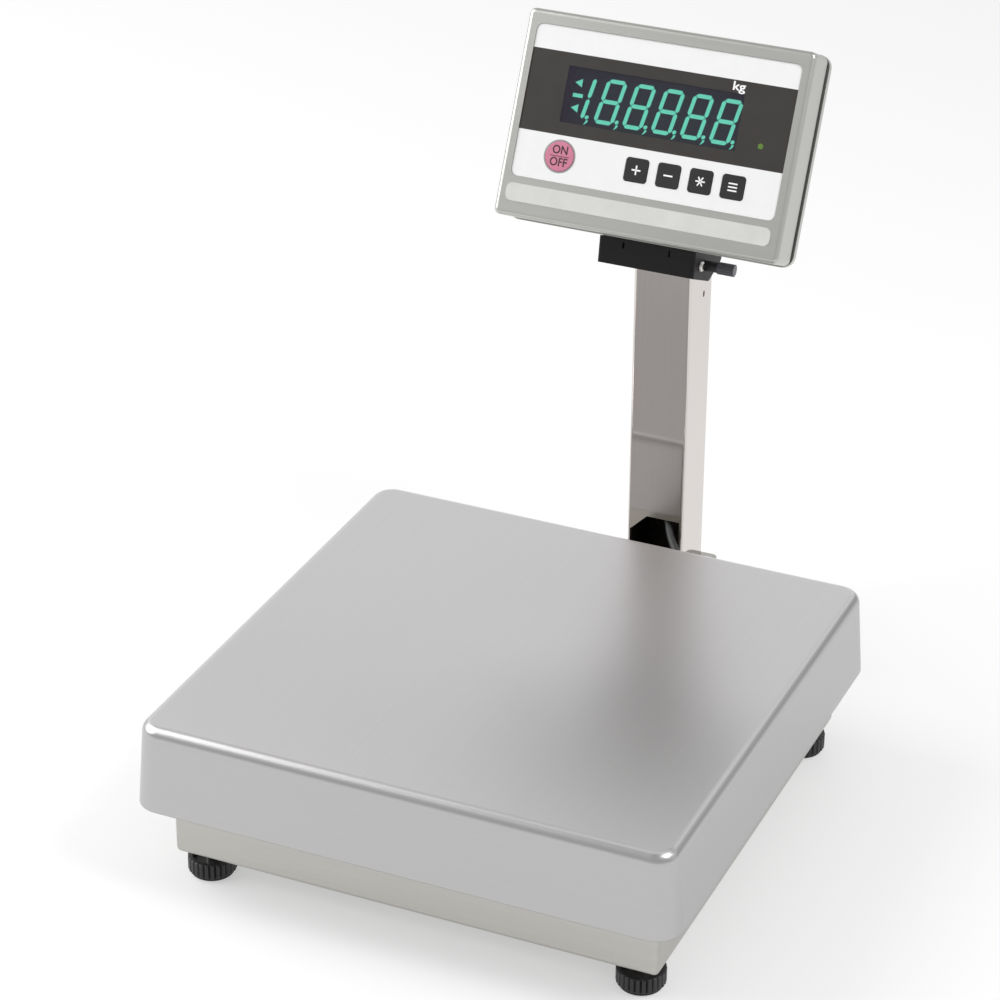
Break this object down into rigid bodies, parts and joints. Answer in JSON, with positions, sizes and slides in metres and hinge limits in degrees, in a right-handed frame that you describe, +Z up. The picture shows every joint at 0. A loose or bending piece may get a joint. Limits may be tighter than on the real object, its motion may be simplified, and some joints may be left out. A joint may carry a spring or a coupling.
{
  "type": "platform scale",
  "caption": "Bench platform scale: a stainless weighing pan on a folded base with levelling feet, and a rear column carrying a tilting digital indicator.",
  "frame": {"origin": "centre of the footprint on the floor", "axes": "+X to the right as seen from the front, +Y to the rear, +Z up"},
  "size_m": [0.35, 0.4538, 0.4403],
  "materials": {
    "pan_steel": "fine brushed stainless",
    "base_steel": "fine brushed stainless",
    "column_steel": "satin stainless tube",
    "case_steel": "satin stainless",
    "galvanised": "zinc plated",
    "dark_paint": "satin black paint",
    "cell_aluminium": "machined",
    "fastener": "plain stainless",
    "rubber_black": "matte",
    "foot_plastic": "satin black",
    "panel_white": "satin",
    "window_smoke": "polished",
    "display_black": "dark glass",
    "board_green": "lacquered",
    "key_black": "satin",
    "key_pink": "satin",
    "lamp_green": "clear green",
    "strip_pale": "satin",
    "gland_black": "satin",
    "cable_grey": "matte",
    "knob_grey": "satin",
    "washer_white": "satin"
  },
  "bodies": {
    "base": {"base_frame": "base_steel", "cell_beam": "base_steel", "load_cell": "cell_aluminium", "cell_spacer_top": "fastener", "cell_spacer_bottom": "fastener", "cell_bolts": "fastener", "overload_stop": "fastener", "load_platform": "base_steel", "pan_pads": "rubber_black", "foot_bushes": "fastener", "base_gland": "gland_black", "column_arm": "base_steel", "arm_bolts": "fastener", "column_foot_plate": "base_steel", "foot_plate_screws": "fastener", "column": "column_steel", "column_cap": "gland_black", "column_gland": "gland_black", "signal_cable": "cable_grey", "head_bracket": "dark_paint", "head_bracket_screws": "fastener", "pivot_nuts": "fastener", "friction_washers": "washer_white", "pivot_bolt": "fastener"},
    "pan": {"weighing_pan": "pan_steel"},
    "indicator": {"front_case": "case_steel", "rear_cover": "case_steel", "case_gasket": "rubber_black", "cradle": "dark_paint", "cradle_screws": "fastener", "stop_screws": "fastener", "rear_screws": "fastener", "front_panel": "panel_white", "display_window": "window_smoke", "display_module": "display_black", "main_board": "board_green", "board_standoffs": "fastener", "key_switches": "key_black", "status_lamp": "lamp_green", "info_strip": "strip_pale", "indicator_gland": "gland_black"},
    "knob": {"tilt_knob": "knob_grey", "knob_sleeve": "gland_black"},
    "power_key": {"key_power": "key_pink"},
    "function_key_1": {"key_1": "key_black"},
    "function_key_2": {"key_2": "key_black"},
    "function_key_3": {"key_3": "key_black"},
    "function_key_4": {"key_4": "key_black"},
    "foot_front_left": {"foot_disc_front_left": "foot_plastic", "foot_sole_front_left": "rubber_black", "foot_stud_front_left": "fastener"},
    "foot_front_right": {"foot_disc_front_right": "foot_plastic", "foot_sole_front_right": "rubber_black", "foot_stud_front_right": "fastener"},
    "foot_rear_left": {"foot_disc_rear_left": "foot_plastic", "foot_sole_rear_left": "rubber_black", "foot_stud_rear_left": "fastener"},
    "foot_rear_right": {"foot_disc_rear_right": "foot_plastic", "foot_sole_rear_right": "rubber_black", "foot_stud_rear_right": "fastener"}
  },
  "joints": [
    {"name": "pan_lift", "type": "slide", "parent": "base", "child": "pan", "axis": [0, 0, 1], "range_m": [0, 0.12]},
    {"name": "indicator_tilt", "type": "hinge", "parent": "base", "child": "indicator", "pos_m": [0, 0.1747, 0.2893], "axis": [1, 0, 0], "range_deg": [-30, 20]},
    {"name": "knob_turn", "type": "hinge", "parent": "base", "child": "knob", "pos_m": [0.045, 0.1747, 0.2893], "axis": [1, 0, 0], "range_deg": [0, 270]},
    {"name": "power_press", "type": "slide", "parent": "indicator", "child": "power_key", "axis": [0, 0.9018, -0.4321], "range_m": [0, 0.0005], "stiffness_N_per_m": 800, "springref_m": -0.0003},
    {"name": "key_press_1", "type": "slide", "parent": "indicator", "child": "function_key_1", "axis": [0, 0.9018, -0.4321], "range_m": [0, 0.0005], "stiffness_N_per_m": 800, "springref_m": -0.0003},
    {"name": "key_press_2", "type": "slide", "parent": "indicator", "child": "function_key_2", "axis": [0, 0.9018, -0.4321], "range_m": [0, 0.0005], "stiffness_N_per_m": 800, "springref_m": -0.0003},
    {"name": "key_press_3", "type": "slide", "parent": "indicator", "child": "function_key_3", "axis": [0, 0.9018, -0.4321], "range_m": [0, 0.0005], "stiffness_N_per_m": 800, "springref_m": -0.0003},
    {"name": "key_press_4", "type": "slide", "parent": "indicator", "child": "function_key_4", "axis": [0, 0.9018, -0.4321], "range_m": [0, 0.0005], "stiffness_N_per_m": 800, "springref_m": -0.0003},
    {"name": "foot_turn_front_left", "type": "hinge", "parent": "base", "child": "foot_front_left", "pos_m": [-0.1413, -0.1878, 0.01], "axis": [0, 0, 1], "continuous": true},
    {"name": "foot_turn_front_right", "type": "hinge", "parent": "base", "child": "foot_front_right", "pos_m": [0.1413, -0.1878, 0.01], "axis": [0, 0, 1], "continuous": true},
    {"name": "foot_turn_rear_left", "type": "hinge", "parent": "base", "child": "foot_rear_left", "pos_m": [-0.1413, 0.0922, 0.01], "axis": [0, 0, 1], "continuous": true},
    {"name": "foot_turn_rear_right", "type": "hinge", "parent": "base", "child": "foot_rear_right", "pos_m": [0.1413, 0.0922, 0.01], "axis": [0, 0, 1], "continuous": true}
  ]
}
